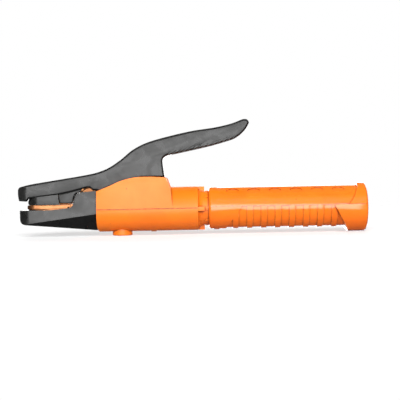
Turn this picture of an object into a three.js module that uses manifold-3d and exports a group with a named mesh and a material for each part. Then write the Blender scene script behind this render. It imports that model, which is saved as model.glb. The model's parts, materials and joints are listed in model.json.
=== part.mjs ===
// Tong-type electrode holder: a brass jaw body in an insulating housing, a sprung lever with the upper jaw,
// and a tubular handle that draws back to reach the cable screws. Millimetres, +Z up.
import * as THREE from 'three';
import { mergeVertices } from 'three/addons/utils/BufferGeometryUtils.js';
import Module from 'manifold-3d';

const wasm = await Module();
wasm.setup();

// Sizes are given from the tool's own axis: x runs from the jaws to the cable end and is 0 where the
// housing's barrel ends, z is height over the axis, y is measured from the middle plane.

// Placing: the origin ends up under the middle of the tool, on the surface that it lies on.
const NOSE_X = -138;
const CABLE_END_X = 125.2;
const REST_DEPTH = 19.4;

// Fits
const GAP = 0.3;
const SEGMENTS = 48;
const SMALL_SEGMENTS = 20;
const CURVE_STEPS = 4;

// Housing
const HOUSING_R = 16.5;
const HOUSING_FRONT_X = -79;
const SLOT_HALF = 12.2;
const SLOT_END_X = -22;
const KEEL_R = 12.6;
const SPIGOT_R = 12.6;
const SPIGOT_END_X = 20;
const FLARE_START_X = -1.6;
const FLARE_LENGTH = 4.5;
const GUSSET_END_X = 3.3;
const GUSSET_WIDTH = 3;
const NECK_LUGS = 8;

// Boss under the housing, with the screw that holds the jaw body
const BOSS_X = -59.2;
const BOSS_R = 7.6;
const BOSS_BORE_R = 6;
const BOSS_BORE_TOP = -14.6;
const HOUSING_SCREW_R = 2.8;

// Jaw body
const BARREL_R = 10.5;
const BARREL_END_X = 48;
const CABLE_BORE_R = 6.5;
const CABLE_BORE_END_X = -10;
const JAW_HALF = 9;
const NECK_HALF = 7.7;
const FLOOR_Z = -3;
const ELECTRODE_GROOVES = [-119.4, -116, -112.6, -109.2];
const CLAMP_SCREW_X = [24, 38];
const CLAMP_SCREW_R = 3.7;

// Lever and its pivot
const PIVOT_X = -58;
const PIVOT_Z = 15;
const PIN_R = 3;
const PIN_HALF = 11.9;
const BUSH_R = 4.6;
const LEVER_HALF = 11;
const CHANNEL_HALF = 8;
const LEVER_ROUND = 1.4;
const UPPER_SCREW_X = [-120, -102];
const TAIL_RIBS = 5;
const TAIL_RIB_PITCH = 10;

// Insulators at the jaws
const INSULATOR_HALF = 11;
const NOSE_PLAN_R = 9;
const INSERT_HALF = 10.6;
const LOWER_SCREW_X = [-122, -104];

// Return spring
const SPRING_X = -35.3;
const SPRING_COIL_R = 4.6;
const SPRING_WIRE_R = 0.9;
const SPRING_TURNS = 6;
const SPRING_BOTTOM_Z = -2.6;
const SPRING_TOP_Z = 21.6;
const HEEL_FLAT_Z = 24;

// Handle
const HANDLE_FRONT_X = 6.5;
const HANDLE_R = 15.8;
const HANDLE_BORE_R = 12.9;
const CABLE_HOLE_R = 11.2;
const SHOULDER_X = 60;
const GRIP_R = 15.2;
const RIB_X = 35;
const RIB_PITCH = 10.55;
const RIB_WIDTH = 4.2;
const RIB_COUNT = 7;
const MID_LINE_Z = 1.4;
const FLANGE_R = 18.3;
const FLANGE_DROP = 1.1;
const PANEL_R = 15.4;
const DIMPLE_X = 24.5;
const DIMPLE_PITCH = 15.9;
const DIMPLE_COUNT = 6;
const DIMPLE_ANGLE = 33;
const LOCK_SCREW_X = 12.4;

const degrees = THREE.MathUtils.degToRad;

// A closed three.js geometry as a solid that can be cut and joined.
function solid(geometry) {
  geometry.deleteAttribute('normal');
  geometry.deleteAttribute('uv');
  const merged = mergeVertices(geometry, 1e-4);
  const corners = merged.index.array;
  const kept = [];
  for (let i = 0; i < corners.length; i += 3) {
    const [a, b, c] = [corners[i], corners[i + 1], corners[i + 2]];
    if (a !== b && b !== c && c !== a) {
      kept.push(a, b, c);
    }
  }
  return new wasm.Manifold(new wasm.Mesh({
    numProp: 3,
    vertProperties: new Float32Array(merged.attributes.position.array),
    triVerts: new Uint32Array(kept),
  }));
}

// Joins all solids of a list.
function join(list) {
  return list.reduce((sum, piece) => sum.add(piece));
}

// Cuts every solid of the list from the first one.
function cut(body, ...tools) {
  return tools.reduce((rest, tool) => rest.subtract(tool), body);
}

// An outline in the x-z plane, thickened to both sides of the middle plane.
function plate(shape, halfWidth, y = 0) {
  const options = { depth: 2 * halfWidth, bevelEnabled: false, curveSegments: CURVE_STEPS };
  const geometry = new THREE.ExtrudeGeometry(shape, options);
  geometry.translate(0, 0, -halfWidth);
  geometry.rotateX(Math.PI / 2);
  geometry.translate(0, y, 0);
  return solid(geometry);
}

// A plate with its long edges rounded over.
function roundedPlate(shape, halfWidth, round) {
  const geometry = new THREE.ExtrudeGeometry(shape, {
    depth: 2 * (halfWidth - round),
    bevelThickness: round,
    bevelSize: round,
    bevelOffset: -round,
    bevelSegments: 2,
    curveSegments: CURVE_STEPS,
  });
  geometry.translate(0, 0, round - halfWidth);
  geometry.rotateX(Math.PI / 2);
  return solid(geometry);
}

// An outline in the x-y plane, from height z0 to z1.
function slab(shape, z0, z1) {
  const options = { depth: z1 - z0, bevelEnabled: false, curveSegments: CURVE_STEPS };
  const geometry = new THREE.ExtrudeGeometry(shape, options);
  geometry.translate(0, 0, z0);
  return solid(geometry);
}

function polygon(points) {
  return new THREE.Shape(points.map(([x, y]) => new THREE.Vector2(x, y)));
}

function vectors(points) {
  return points.map(([x, y]) => new THREE.Vector2(x, y));
}

// A profile of [x, radius] points turned about the tool's axis.
function turned(profile, segments = SEGMENTS) {
  const points = profile.map(([x, r]) => new THREE.Vector2(r, x));
  const geometry = new THREE.LatheGeometry(points, segments);
  geometry.rotateZ(-Math.PI / 2);
  return solid(geometry);
}

// A profile of [z, radius] points turned about an upright axis at x.
function turnedUpright(profile, x, segments = SMALL_SEGMENTS) {
  const points = profile.map(([z, r]) => new THREE.Vector2(r, z));
  const geometry = new THREE.LatheGeometry(points, segments);
  geometry.rotateX(Math.PI / 2);
  geometry.translate(x, 0, 0);
  return solid(geometry);
}

function rod(x0, x1, radius, segments = SEGMENTS) {
  return turned([[x0, 0], [x0, radius], [x1, radius], [x1, 0]], segments);
}

function post(x, z0, z1, radius, segments = SMALL_SEGMENTS) {
  return turnedUpright([[z0, 0], [z0, radius], [z1, radius], [z1, 0]], x, segments);
}

// A round bar across the tool, centred on y.
function crossRod(x, z, radius, halfLength, y = 0, segments = SMALL_SEGMENTS) {
  const geometry = new THREE.CylinderGeometry(radius, radius, 2 * halfLength, segments);
  geometry.translate(x, y, z);
  return solid(geometry);
}

function block(x0, x1, y0, y1, z0, z1) {
  const geometry = new THREE.BoxGeometry(x1 - x0, y1 - y0, z1 - z0);
  geometry.translate((x0 + x1) / 2, (y0 + y1) / 2, (z0 + z1) / 2);
  return solid(geometry);
}

// The housing's side outline above the axis: a hump that rises from the jaws and drops behind the lever.
function humpShape() {
  const shape = new THREE.Shape();
  shape.moveTo(HOUSING_FRONT_X - 1, 0);
  shape.lineTo(HOUSING_FRONT_X - 1, 13.1);
  shape.lineTo(-77.3, 14.2);
  shape.splineThru(vectors([[-66.8, 18.4], [-59.2, 21.7], [-49.6, 24.1], [-39.2, 24.6], [-28.8, 24.1],
    [-26.2, 23.7]]));
  shape.quadraticCurveTo(-24.9, 23.4, -24.3, 21.8);
  shape.lineTo(-21.8, 15);
  shape.lineTo(-20.4, 0);
  return shape;
}

// Everything behind the housing's front face, which is rounded below.
function behindFrontFace() {
  const shape = new THREE.Shape();
  shape.moveTo(-76, -20);
  shape.lineTo(-76.2, -16.6);
  shape.quadraticCurveTo(-77.6, -14.6, -77.5, -8);
  shape.lineTo(-77.1, 14.6);
  shape.lineTo(-77.1, 30);
  shape.lineTo(30, 30);
  shape.lineTo(30, -20);
  return plate(shape, 20);
}

// Round barrel with a hollow flare that runs down to the spigot inside the handle.
function housingBarrel() {
  const profile = [[HOUSING_FRONT_X - 1, 0], [HOUSING_FRONT_X - 1, HOUSING_R]];
  for (let step = 0; step <= CURVE_STEPS; step += 1) {
    const turn = (Math.PI / 2) * (step / CURVE_STEPS);
    const x = FLARE_START_X + FLARE_LENGTH * (1 - Math.cos(turn));
    const r = HOUSING_R - (HOUSING_R - SPIGOT_R) * Math.sin(turn);
    profile.push([x, r]);
  }
  profile.push([SPIGOT_END_X, SPIGOT_R], [SPIGOT_END_X, 0]);
  return turned(profile);
}

// Four webs across the flare and a ring of low lugs on the neck.
function neckWebs() {
  const pieces = [];
  const webLength = GUSSET_END_X - FLARE_START_X;
  for (let quarter = 0; quarter < 2; quarter += 1) {
    const web = new THREE.BoxGeometry(webLength, GUSSET_WIDTH, 2 * HOUSING_R - 0.3);
    web.translate((GUSSET_END_X + FLARE_START_X) / 2, 0, 0);
    web.rotateX(quarter * Math.PI / 2);
    pieces.push(solid(web));
  }
  for (let lug = 0; lug < NECK_LUGS / 2; lug += 1) {
    const bar = new THREE.BoxGeometry(2.6, 2.2, 2 * SPIGOT_R + 1);
    bar.translate(5, 0, 0);
    bar.rotateX(lug * 2 * Math.PI / NECK_LUGS);
    pieces.push(solid(bar));
  }
  return join(pieces);
}

function makeHousing() {
  const outside = join([plate(humpShape(), HOUSING_R), housingBarrel(), neckWebs()]).intersect(behindFrontFace());
  const nub = block(-37.3, -33.3, -1.2, 1.2, -17, -15);
  const slot = block(HOUSING_FRONT_X - 3, SLOT_END_X, -SLOT_HALF, SLOT_HALF, 0, 30);
  const keelRoom = rod(HOUSING_FRONT_X - 3, SLOT_END_X, KEEL_R + GAP);
  const barrelRoom = rod(SLOT_END_X - 1, SPIGOT_END_X + 1, BARREL_R + GAP);
  const plugBore = post(BOSS_X, -20, BOSS_BORE_TOP, BOSS_BORE_R, 32);
  const screwHole = post(BOSS_X, -20, -10, HOUSING_SCREW_R + 0.4);
  return cut(outside.add(nub), slot, keelRoom, barrelRoom, plugBore, screwHole);
}

// Round cap over the housing screw: the tool's front rest.
function makeBossPlug() {
  const edge = 0.8;
  const head = turnedUpright([
    [-REST_DEPTH, 0], [-REST_DEPTH, BOSS_R - edge], [-REST_DEPTH + 0.25, BOSS_R - 0.25],
    [-REST_DEPTH + edge, BOSS_R], [-12, BOSS_R], [-12, 0],
  ], BOSS_X, 32);
  const rim = post(BOSS_X, -18, BOSS_BORE_TOP - GAP, BOSS_BORE_R - GAP, 32);
  const screwRoom = post(BOSS_X, -17.4, -10, 4.9);
  const cap = head.subtract(rod(-75, -45, HOUSING_R + GAP));
  return cut(cap.add(rim), screwRoom);
}

// Socket-head screw, head down, that pulls the jaw body onto the housing's floor.
function makeHousingScrew() {
  const screw = turnedUpright([
    [-17.1, 0], [-17.1, 4.2], [-16.8, 4.5], [-14.9, 4.5], [-14.9, HOUSING_SCREW_R],
    [3.2, HOUSING_SCREW_R], [3.8, HOUSING_SCREW_R - 0.6], [3.8, 0],
  ], BOSS_X);
  return screw.subtract(post(BOSS_X, -18, -15.6, 2.2, 6));
}

// Grooved lower jaw of the brass body.
function lowerJaw() {
  const side = new THREE.Shape();
  side.moveTo(-128.8, 1.4);
  side.quadraticCurveTo(-130.6, 1.6, -130.4, 3.4);
  side.quadraticCurveTo(-130, 4.8, -128, 4.8);
  side.lineTo(-97.3, 4.8);
  side.lineTo(-97.3, 3.2);
  side.lineTo(-109.8, 1.9);
  const plan = new THREE.Shape();
  plan.moveTo(-97.3, -JAW_HALF);
  plan.lineTo(-97.3, JAW_HALF);
  plan.lineTo(-124, JAW_HALF);
  plan.quadraticCurveTo(-130.6, JAW_HALF, -130.6, 3);
  plan.lineTo(-130.6, -3);
  plan.quadraticCurveTo(-130.6, -JAW_HALF, -124, -JAW_HALF);
  const jaw = plate(side, JAW_HALF).intersect(slab(plan, 0, 8));
  const grooves = ELECTRODE_GROOVES.map((x) => crossRod(x, 6.2, 1.9, JAW_HALF + 1, 0, 16));
  return cut(jaw, ...grooves);
}

// Neck that passes through the insulator and ends in the lug that carries the pivot.
function neckAndLug() {
  const side = new THREE.Shape();
  side.moveTo(-99, 3);
  side.lineTo(-98, 4.7);
  side.lineTo(-94.4, 4.9);
  side.lineTo(-91.6, 11.3);
  side.quadraticCurveTo(-90.6, 13.4, -88.4, 13.8);
  side.quadraticCurveTo(-86.6, 16.4, -83.6, 16.6);
  side.lineTo(-76, 17.4);
  side.lineTo(-62.6, 21.8);
  side.absarc(PIVOT_X, PIVOT_Z, 8.2, degrees(124), 0, true);
  side.lineTo(-49.8, 4);
  side.quadraticCurveTo(-49.4, FLOOR_Z, -43, FLOOR_Z);
  side.lineTo(SLOT_END_X - GAP, FLOOR_Z);
  side.lineTo(SLOT_END_X - GAP, -9);
  side.lineTo(-79, -9);
  side.lineTo(-96, -3.5);
  return plate(side, NECK_HALF);
}

function makeJawBody() {
  const keel = rod(-77.6, SLOT_END_X - GAP, KEEL_R).intersect(block(-90, 0, -20, 20, -20, FLOOR_Z));
  const barrel = turned([
    [SLOT_END_X - GAP, 0], [SLOT_END_X - GAP, BARREL_R], [BARREL_END_X - 1, BARREL_R],
    [BARREL_END_X, BARREL_R - 1], [BARREL_END_X, CABLE_BORE_R + 1], [BARREL_END_X - 1, CABLE_BORE_R],
    [CABLE_BORE_END_X, CABLE_BORE_R], [CABLE_BORE_END_X - 3, 0],
  ]);
  const body = join([lowerJaw(), neckAndLug(), keel, barrel]);
  const tools = [
    crossRod(PIVOT_X, PIVOT_Z, PIN_R + GAP, 20),
    post(BOSS_X, -20, 4.2, HOUSING_SCREW_R + GAP),
    post(SPRING_X, -5.9, 5, 6.4),
  ];
  LOWER_SCREW_X.forEach((x) => tools.push(post(x, 0, 3.5, 2.2)));
  CLAMP_SCREW_X.forEach((x) => tools.push(post(x, -20, -4, CLAMP_SCREW_R + GAP)));
  return cut(body, ...tools);
}

// Plan outline of a jaw insulator, with its front corners rounded.
function nosePlan(frontX, rearX, halfWidth) {
  const plan = new THREE.Shape();
  plan.moveTo(rearX, -halfWidth);
  plan.lineTo(rearX, halfWidth);
  plan.lineTo(frontX + NOSE_PLAN_R, halfWidth);
  plan.absellipse(frontX + NOSE_PLAN_R, 0, NOSE_PLAN_R, halfWidth, Math.PI / 2, 3 * Math.PI / 2, false);
  return plan;
}

// Side outline of the lower insulator: a tray under the jaw that steps up to the throat block.
function lowerInsulatorShape() {
  const side = new THREE.Shape();
  side.moveTo(-136.9, -0.1);
  side.quadraticCurveTo(-136.8, 0.8, -135.6, 0.8);
  side.lineTo(-111.9, 0.9);
  side.lineTo(-98.6, 2.2);
  side.bezierCurveTo(-95.4, 2.8, -95.2, 5, -94.6, 7.4);
  side.bezierCurveTo(-93.8, 11.6, -92.4, 13.3, -88.4, 13.9);
  side.lineTo(-77.8, 14.7);
  side.lineTo(-77.8, -15.1);
  side.lineTo(-131.4, -10.1);
  side.quadraticCurveTo(-136, -9.6, -136.6, -5.6);
  return side;
}

// Slanted cutter along one lower edge of the insulator.
function undersideCutter(side) {
  const section = polygon([[INSULATOR_HALF, 0], [INSULATOR_HALF + 4, 0], [INSULATOR_HALF + 4, -22],
    [INSULATOR_HALF - 13, -22]]);
  const geometry = new THREE.ExtrudeGeometry(section, { depth: 70, bevelEnabled: false });
  if (side < 0) {
    geometry.rotateY(Math.PI);
    geometry.translate(0, 0, 70);
  }
  geometry.rotateX(Math.PI / 2);
  geometry.rotateZ(Math.PI / 2);
  geometry.rotateY(degrees(-7.2));
  geometry.translate(-140, 0, -10.4);
  return solid(geometry);
}

function makeLowerInsulator() {
  const outside = plate(lowerInsulatorShape(), INSULATOR_HALF)
    .intersect(slab(nosePlan(-136.9, -70, INSULATOR_HALF), -30, 30));
  const neckRoom = plate(polygon([[-99.6, 30], [-99.6, -3.8], [-96, -3.8], [-70, -12.2], [-70, 30]]), CHANNEL_HALF);
  const tools = [neckRoom, undersideCutter(1), undersideCutter(-1)];
  LOWER_SCREW_X.forEach((x) => {
    tools.push(post(x, -20, 5, 2.2));
    tools.push(post(x, -20, -8.2, 3.5));
  });
  return cut(outside, ...tools);
}

// Cheese-head screw standing in z; the head is at the end named by headZ.
function jawScrew(x, headZ, tipZ) {
  const up = Math.sign(tipZ - headZ);
  const head = post(x, Math.min(headZ, headZ + 2 * up), Math.max(headZ, headZ + 2 * up), 3.2);
  const shank = post(x, Math.min(headZ + up, tipZ), Math.max(headZ + up, tipZ), 1.9);
  const slotted = block(x - 4, x + 4, -0.45, 0.45, headZ - 0.7, headZ + 0.7);
  return head.add(shank).subtract(slotted);
}

// Gooseneck side outline of the lever: nose, throat, pivot boss, heel and thumb tail.
function leverShape() {
  const side = new THREE.Shape();
  side.moveTo(-136.3, 8);
  side.lineTo(-137.9, 13);
  side.quadraticCurveTo(-138.2, 18, -133.6, 18.9);
  side.splineThru(vectors([[-125.8, 20.6], [-110.5, 22.9], [-90, 25.9], [-77, 28.4], [-67.6, 32], [-58.6, 37.9],
    [-50, 44.7], [-40.1, 49.7], [-27.9, 53.3], [-6.5, 58], [11.8, 60.5], [24, 63.1], [32.6, 66.2]]));
  side.quadraticCurveTo(37.4, 67.4, 37.8, 63.4);
  side.splineThru(vectors([[34.2, 57.8], [27.6, 52.6], [14, 48.4], [0.9, 45.3], [-22.6, 40.6]]));
  side.quadraticCurveTo(-27.4, 39.6, -27.6, 36);
  side.lineTo(-26.9, 29);
  side.lineTo(-26.1, 26.6);
  side.quadraticCurveTo(-26.1, HEEL_FLAT_Z, -28.8, HEEL_FLAT_Z);
  side.lineTo(-44, HEEL_FLAT_Z);
  side.lineTo(-50.12, 16.39);
  side.absarc(PIVOT_X, PIVOT_Z, 8, degrees(10), degrees(-110), true);
  side.lineTo(-70, 11.8);
  side.lineTo(-77.2, 15);
  side.lineTo(-79.9, 15.4);
  side.quadraticCurveTo(-81.8, 17.3, -84.6, 17);
  side.lineTo(-88, 16.3);
  side.lineTo(-96.5, 14.1);
  side.lineTo(-107, 12);
  side.lineTo(-128.3, 9.75);
  side.lineTo(-130.4, 7.6);
  return side;
}

// Open channel under the lever's front, over the jaw, the neck and the lug.
function frontChannel() {
  return plate(polygon([[-130.6, 0], [-130.6, 13.1], [-88, 19.3], [-80, 21.2], [-70, 25.8], [-61, 32.5],
    [-54, 36], [-47, 36], [-47, 0]]), CHANNEL_HALF);
}

// Hollow under the thumb tail, crossed by ribs.
function tailHollow() {
  const hollow = plate(polygon([[-21, 34], [-21, 50.6], [-6.5, 53.9], [11.8, 56.4], [24, 59], [29, 60.6],
    [29, 40]]), CHANNEL_HALF);
  const ribs = [];
  for (let rib = 0; rib < TAIL_RIBS; rib += 1) {
    const x = -15.5 + rib * TAIL_RIB_PITCH;
    const low = 44.6 + 0.21 * (x + 15.5) + 0.0016 * (x + 15.5) ** 2;
    ribs.push(block(x - 0.9, x + 0.9, -10, 10, low, 70));
  }
  return cut(hollow, ...ribs);
}

function makeLever() {
  const outside = roundedPlate(leverShape(), LEVER_HALF, LEVER_ROUND)
    .intersect(slab(nosePlan(NOSE_X, 60, LEVER_HALF), 0, 80));
  const tools = [frontChannel(), tailHollow(), crossRod(PIVOT_X, PIVOT_Z, BUSH_R + GAP, 20)];
  UPPER_SCREW_X.forEach((x) => {
    tools.push(post(x, 5, 40, 2.2));
    tools.push(post(x, leverTopAt(x) - 3.2, 40, 3.5));
  });
  return cut(outside, ...tools);
}

// Height of the lever's top face over the jaws.
function leverTopAt(x) {
  return 22.9 + 0.147 * (x + 110.5);
}

// Brass upper jaw, screwed up into the lever's channel.
function makeUpperJaw() {
  const bar = plate(polygon([[-125.2, 5.2], [-125.2, 13.5], [-96, 17.8], [-96, 5.8], [-97, 5.2]]), NECK_HALF);
  const grooves = ELECTRODE_GROOVES.map((x) => crossRod(x, 3.9, 1.9, 10, 0, 16));
  const holes = UPPER_SCREW_X.map((x) => post(x, 9.2, 30, 2.2));
  return cut(bar, ...grooves, ...holes);
}

// Front insulating shoe: two lips and a front wall round the upper jaw.
function makeUpperShoe() {
  const side = new THREE.Shape();
  side.moveTo(-130.1, 7.2);
  side.quadraticCurveTo(-130, 5.5, -128.6, 5.5);
  side.lineTo(-119, 5.6);
  side.lineTo(-106, 6.4);
  side.lineTo(-106.7, 11.7);
  side.lineTo(-128, 9.5);
  const plan = nosePlan(-130.4, -100, INSERT_HALF);
  const shoe = plate(side, INSERT_HALF).intersect(slab(plan, 0, 30));
  return shoe.subtract(block(-125.5, -90, -CHANNEL_HALF, CHANNEL_HALF, 0, 30));
}

// Rear insulating shoe, closed behind the upper jaw.
function makeUpperHeelShoe() {
  const side = new THREE.Shape();
  side.moveTo(-106.3, 11.7);
  side.lineTo(-105.4, 8);
  side.quadraticCurveTo(-105.1, 6.9, -104, 6.9);
  side.lineTo(-96, 6.9);
  side.quadraticCurveTo(-95.3, 7, -95.1, 8.6);
  side.bezierCurveTo(-94.6, 11.2, -93.4, 13, -91.6, 13.6);
  side.lineTo(-91.6, 14.9);
  side.lineTo(-96.5, 13.7);
  const shoe = plate(side, INSERT_HALF);
  return shoe.subtract(block(-110, -95.7, -CHANNEL_HALF, CHANNEL_HALF, 0, 30));
}

function makePivotPin() {
  const grooveR = PIN_R - 0.6;
  const profile = [[-PIN_HALF, 0], [-PIN_HALF, PIN_R - 0.3], [-PIN_HALF + 0.3, PIN_R]];
  [-1, 1].forEach((side) => {
    const [low, high] = side < 0 ? [-11.7, -10.9] : [10.9, 11.7];
    profile.push([low + 0.1, PIN_R], [low + 0.1, grooveR], [high - 0.1, grooveR], [high - 0.1, PIN_R]);
  });
  profile.push([PIN_HALF - 0.2, PIN_R], [PIN_HALF, PIN_R - 0.3], [PIN_HALF, 0]);
  const geometry = new THREE.LatheGeometry(profile.map(([y, r]) => new THREE.Vector2(r, y)), SMALL_SEGMENTS);
  geometry.translate(PIVOT_X, 0, PIVOT_Z);
  return solid(geometry);
}

// A short sleeve round the pivot's axis, from y0 to y1.
function pivotRing(inner, outer, y0, y1) {
  const profile = [[outer, y0], [outer, y1], [inner, y1], [inner, y0], [outer, y0]];
  const geometry = new THREE.LatheGeometry(profile.map(([r, y]) => new THREE.Vector2(r, y)), SMALL_SEGMENTS);
  geometry.translate(PIVOT_X, 0, PIVOT_Z);
  return solid(geometry);
}

// Coil of the return spring as a wire of hexagonal section along a helix.
function makeSpring() {
  class Helix extends THREE.Curve {
    getPoint(t, target = new THREE.Vector3()) {
      const turn = 2 * Math.PI * SPRING_TURNS * t;
      const z = SPRING_BOTTOM_Z + SPRING_WIRE_R + t * (SPRING_TOP_Z - SPRING_BOTTOM_Z - 2 * SPRING_WIRE_R);
      return target.set(SPRING_COIL_R * Math.cos(turn), SPRING_COIL_R * Math.sin(turn), z);
    }
  }
  const section = new THREE.Shape();
  for (let corner = 0; corner < 6; corner += 1) {
    const turn = corner * Math.PI / 3;
    const [x, y] = [SPRING_WIRE_R * Math.cos(turn), SPRING_WIRE_R * Math.sin(turn)];
    if (corner === 0) {
      section.moveTo(x, y);
    } else {
      section.lineTo(x, y);
    }
  }
  const geometry = new THREE.ExtrudeGeometry(section, {
    steps: SPRING_TURNS * 12,
    curveSegments: 6,
    extrudePath: new Helix(),
  });
  geometry.translate(SPRING_X, 0, 0);
  return solid(geometry);
}

function makeSpringSeat() {
  return turnedUpright([[-5.6, 0], [-5.6, 6.1], [-2.9, 6.1], [-2.9, 3.2], [0.6, 3.2], [1.4, 2.4], [1.4, 0]],
    SPRING_X, SMALL_SEGMENTS);
}

function makeSpringCap() {
  return turnedUpright([[17, 0], [17, 2.4], [17.8, 3.2], [21.9, 3.2], [21.9, 6.1], [23.7, 6.1], [23.7, 0]],
    SPRING_X, SMALL_SEGMENTS);
}

function makeClampScrew(x) {
  const screw = post(x, -10.6, -6.6, CLAMP_SCREW_R);
  return screw.subtract(post(x, -12, -8.4, 2.1, 6));
}

// Curved copper shoe between the clamp screws and the cable.
function makeClampShoe() {
  const [x0, x1] = [16, 46];
  const ring = turned([[x0, 6.2], [x1, 6.2], [x1, 5], [x0, 5], [x0, 6.2]], 36);
  return ring.intersect(block(0, 60, -5, 5, -8, -2.4));
}

// Fibre tube that insulates the cable barrel inside the handle.
function makeBarrelSleeve() {
  const [x0, x1] = [SPIGOT_END_X + 0.5, 52];
  const [inner, outer] = [BARREL_R + GAP, HANDLE_BORE_R - 0.5];
  const tube = turned([[x0, outer], [x1, outer], [x1, inner], [x0, inner], [x0, outer]], 40);
  const holes = CLAMP_SCREW_X.map((x) => post(x, -20, -6, CLAMP_SCREW_R + 0.5));
  return cut(tube, ...holes);
}

// Outer tube of the handle with its rounded ends.
function handleTube() {
  const front = HANDLE_FRONT_X;
  return turned([
    [front, HANDLE_BORE_R], [front, HANDLE_R - 1.6], [front + 0.5, HANDLE_R - 0.7], [front + 1.6, HANDLE_R],
    [CABLE_END_X - 3, HANDLE_R], [CABLE_END_X - 3, CABLE_HOLE_R + 0.4], [CABLE_END_X - 3, CABLE_HOLE_R],
    [SHOULDER_X + 2, CABLE_HOLE_R], [SHOULDER_X, HANDLE_BORE_R], [front, HANDLE_BORE_R],
  ]);
}

// Rear flange, set a little low, that reaches forward under the hand.
function handleFlange() {
  const x0 = 96;
  const flange = turned([
    [x0, 10], [x0, FLANGE_R], [CABLE_END_X - 2, FLANGE_R], [CABLE_END_X - 0.7, FLANGE_R - 0.7],
    [CABLE_END_X, FLANGE_R - 2.2], [CABLE_END_X, CABLE_HOLE_R + 3.5], [CABLE_END_X - 4, 10], [x0, 10],
  ]).translate([0, 0, -FLANGE_DROP]);
  const side = new THREE.Shape();
  side.moveTo(130, -25);
  side.lineTo(112.6, -25);
  side.lineTo(111.6, -19.4);
  side.lineTo(100.4, MID_LINE_Z - 0.6);
  side.lineTo(100.4, MID_LINE_Z);
  side.lineTo(111, MID_LINE_Z);
  side.quadraticCurveTo(117, 8, 118.6, 17.2);
  side.lineTo(119.6, 25);
  side.lineTo(130, 25);
  return flange.intersect(plate(side, 25));
}

// Grooves between the finger ribs, below the mid line and behind a slanted front edge.
function fingerGrooves() {
  const zone = plate(polygon([[16, -20], [30.4, 0], [31, MID_LINE_Z], [101, MID_LINE_Z], [101, 0],
    [111.4, -20]]), 20);
  const grooves = [];
  for (let rib = -2; rib < RIB_COUNT; rib += 1) {
    const x0 = RIB_X + rib * RIB_PITCH + RIB_WIDTH;
    const x1 = rib === RIB_COUNT - 1 ? 115 : x0 + RIB_PITCH - RIB_WIDTH;
    grooves.push(turned([[x0, 20], [x1, 20], [x1, GRIP_R], [x0, GRIP_R], [x0, 20]]));
  }
  return join(grooves).intersect(zone);
}

// Shallow panel along the top of the handle.
function topPanel() {
  const ring = turned([[10, 20], [119, 20], [119, PANEL_R], [10, PANEL_R], [10, 20]]);
  const side = new THREE.Shape();
  side.moveTo(11.6, 20);
  side.lineTo(13, 14.5);
  side.quadraticCurveTo(16.8, 9, 25, 8.5);
  side.lineTo(108, 8.3);
  side.quadraticCurveTo(114.6, 8.8, 117.2, 16);
  side.lineTo(117.4, 20);
  return ring.intersect(plate(side, 20));
}

// Oval dimples in two rows beside the crest of the panel.
function dimples() {
  const list = [];
  for (let place = 0; place < DIMPLE_COUNT; place += 1) {
    [-1, 1].forEach((side) => {
      const oval = new THREE.Shape();
      oval.absellipse(0, 0, 4.8, 3, 0, 2 * Math.PI, false);
      const geometry = new THREE.ExtrudeGeometry(oval, { depth: 6, bevelEnabled: false, curveSegments: 8 });
      geometry.translate(0, 0, PANEL_R - 0.75);
      geometry.rotateX(side * degrees(DIMPLE_ANGLE));
      geometry.translate(DIMPLE_X + place * DIMPLE_PITCH, 0, 0);
      list.push(solid(geometry));
    });
  }
  return join(list);
}

function makeHandle() {
  const bore = rod(90, CABLE_END_X + 1, CABLE_HOLE_R);
  const whole = handleTube().add(handleFlange());
  const screwRoom = post(LOCK_SCREW_X, -20, -14.3, 2.4);
  const screwHole = post(LOCK_SCREW_X, -20, -10, 1.7);
  return cut(whole, bore, fingerGrooves(), topPanel(), dimples(), screwRoom, screwHole);
}

function makeLockScrew() {
  const screw = turnedUpright([[-16.3, 0], [-16.3, 1.9], [-16.1, 2.1], [-14.6, 2.1], [-14.6, 1.4], [-12.95, 1.4],
    [-12.95, 0]], LOCK_SCREW_X, 16);
  return screw.subtract(block(LOCK_SCREW_X - 3, LOCK_SCREW_X + 3, -0.35, 0.35, -17, -15.8));
}

const FINISHES = {
  orange: { color: 0xf07a22, roughness: 0.42, metalness: 0 },
  handleOrange: { color: 0xee6f20, roughness: 0.38, metalness: 0 },
  black: { color: 0x26272a, roughness: 0.6, metalness: 0 },
  brass: { color: 0xd98e55, roughness: 0.35, metalness: 1 },
  steel: { color: 0x9a9ca0, roughness: 0.35, metalness: 1 },
  fibre: { color: 0x6b4a33, roughness: 0.8, metalness: 0 },
};

function part(name, body, finish) {
  const { vertProperties, triVerts } = body.getMesh();
  const geometry = new THREE.BufferGeometry();
  geometry.setAttribute('position', new THREE.BufferAttribute(new Float32Array(vertProperties), 3));
  geometry.setIndex(new THREE.BufferAttribute(new Uint32Array(triVerts), 1));
  const mesh = new THREE.Mesh(geometry, new THREE.MeshStandardMaterial(FINISHES[finish]));
  mesh.name = name;
  return mesh;
}

const tool = new THREE.Group();
tool.position.set(-(NOSE_X + CABLE_END_X) / 2, 0, REST_DEPTH);

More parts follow.
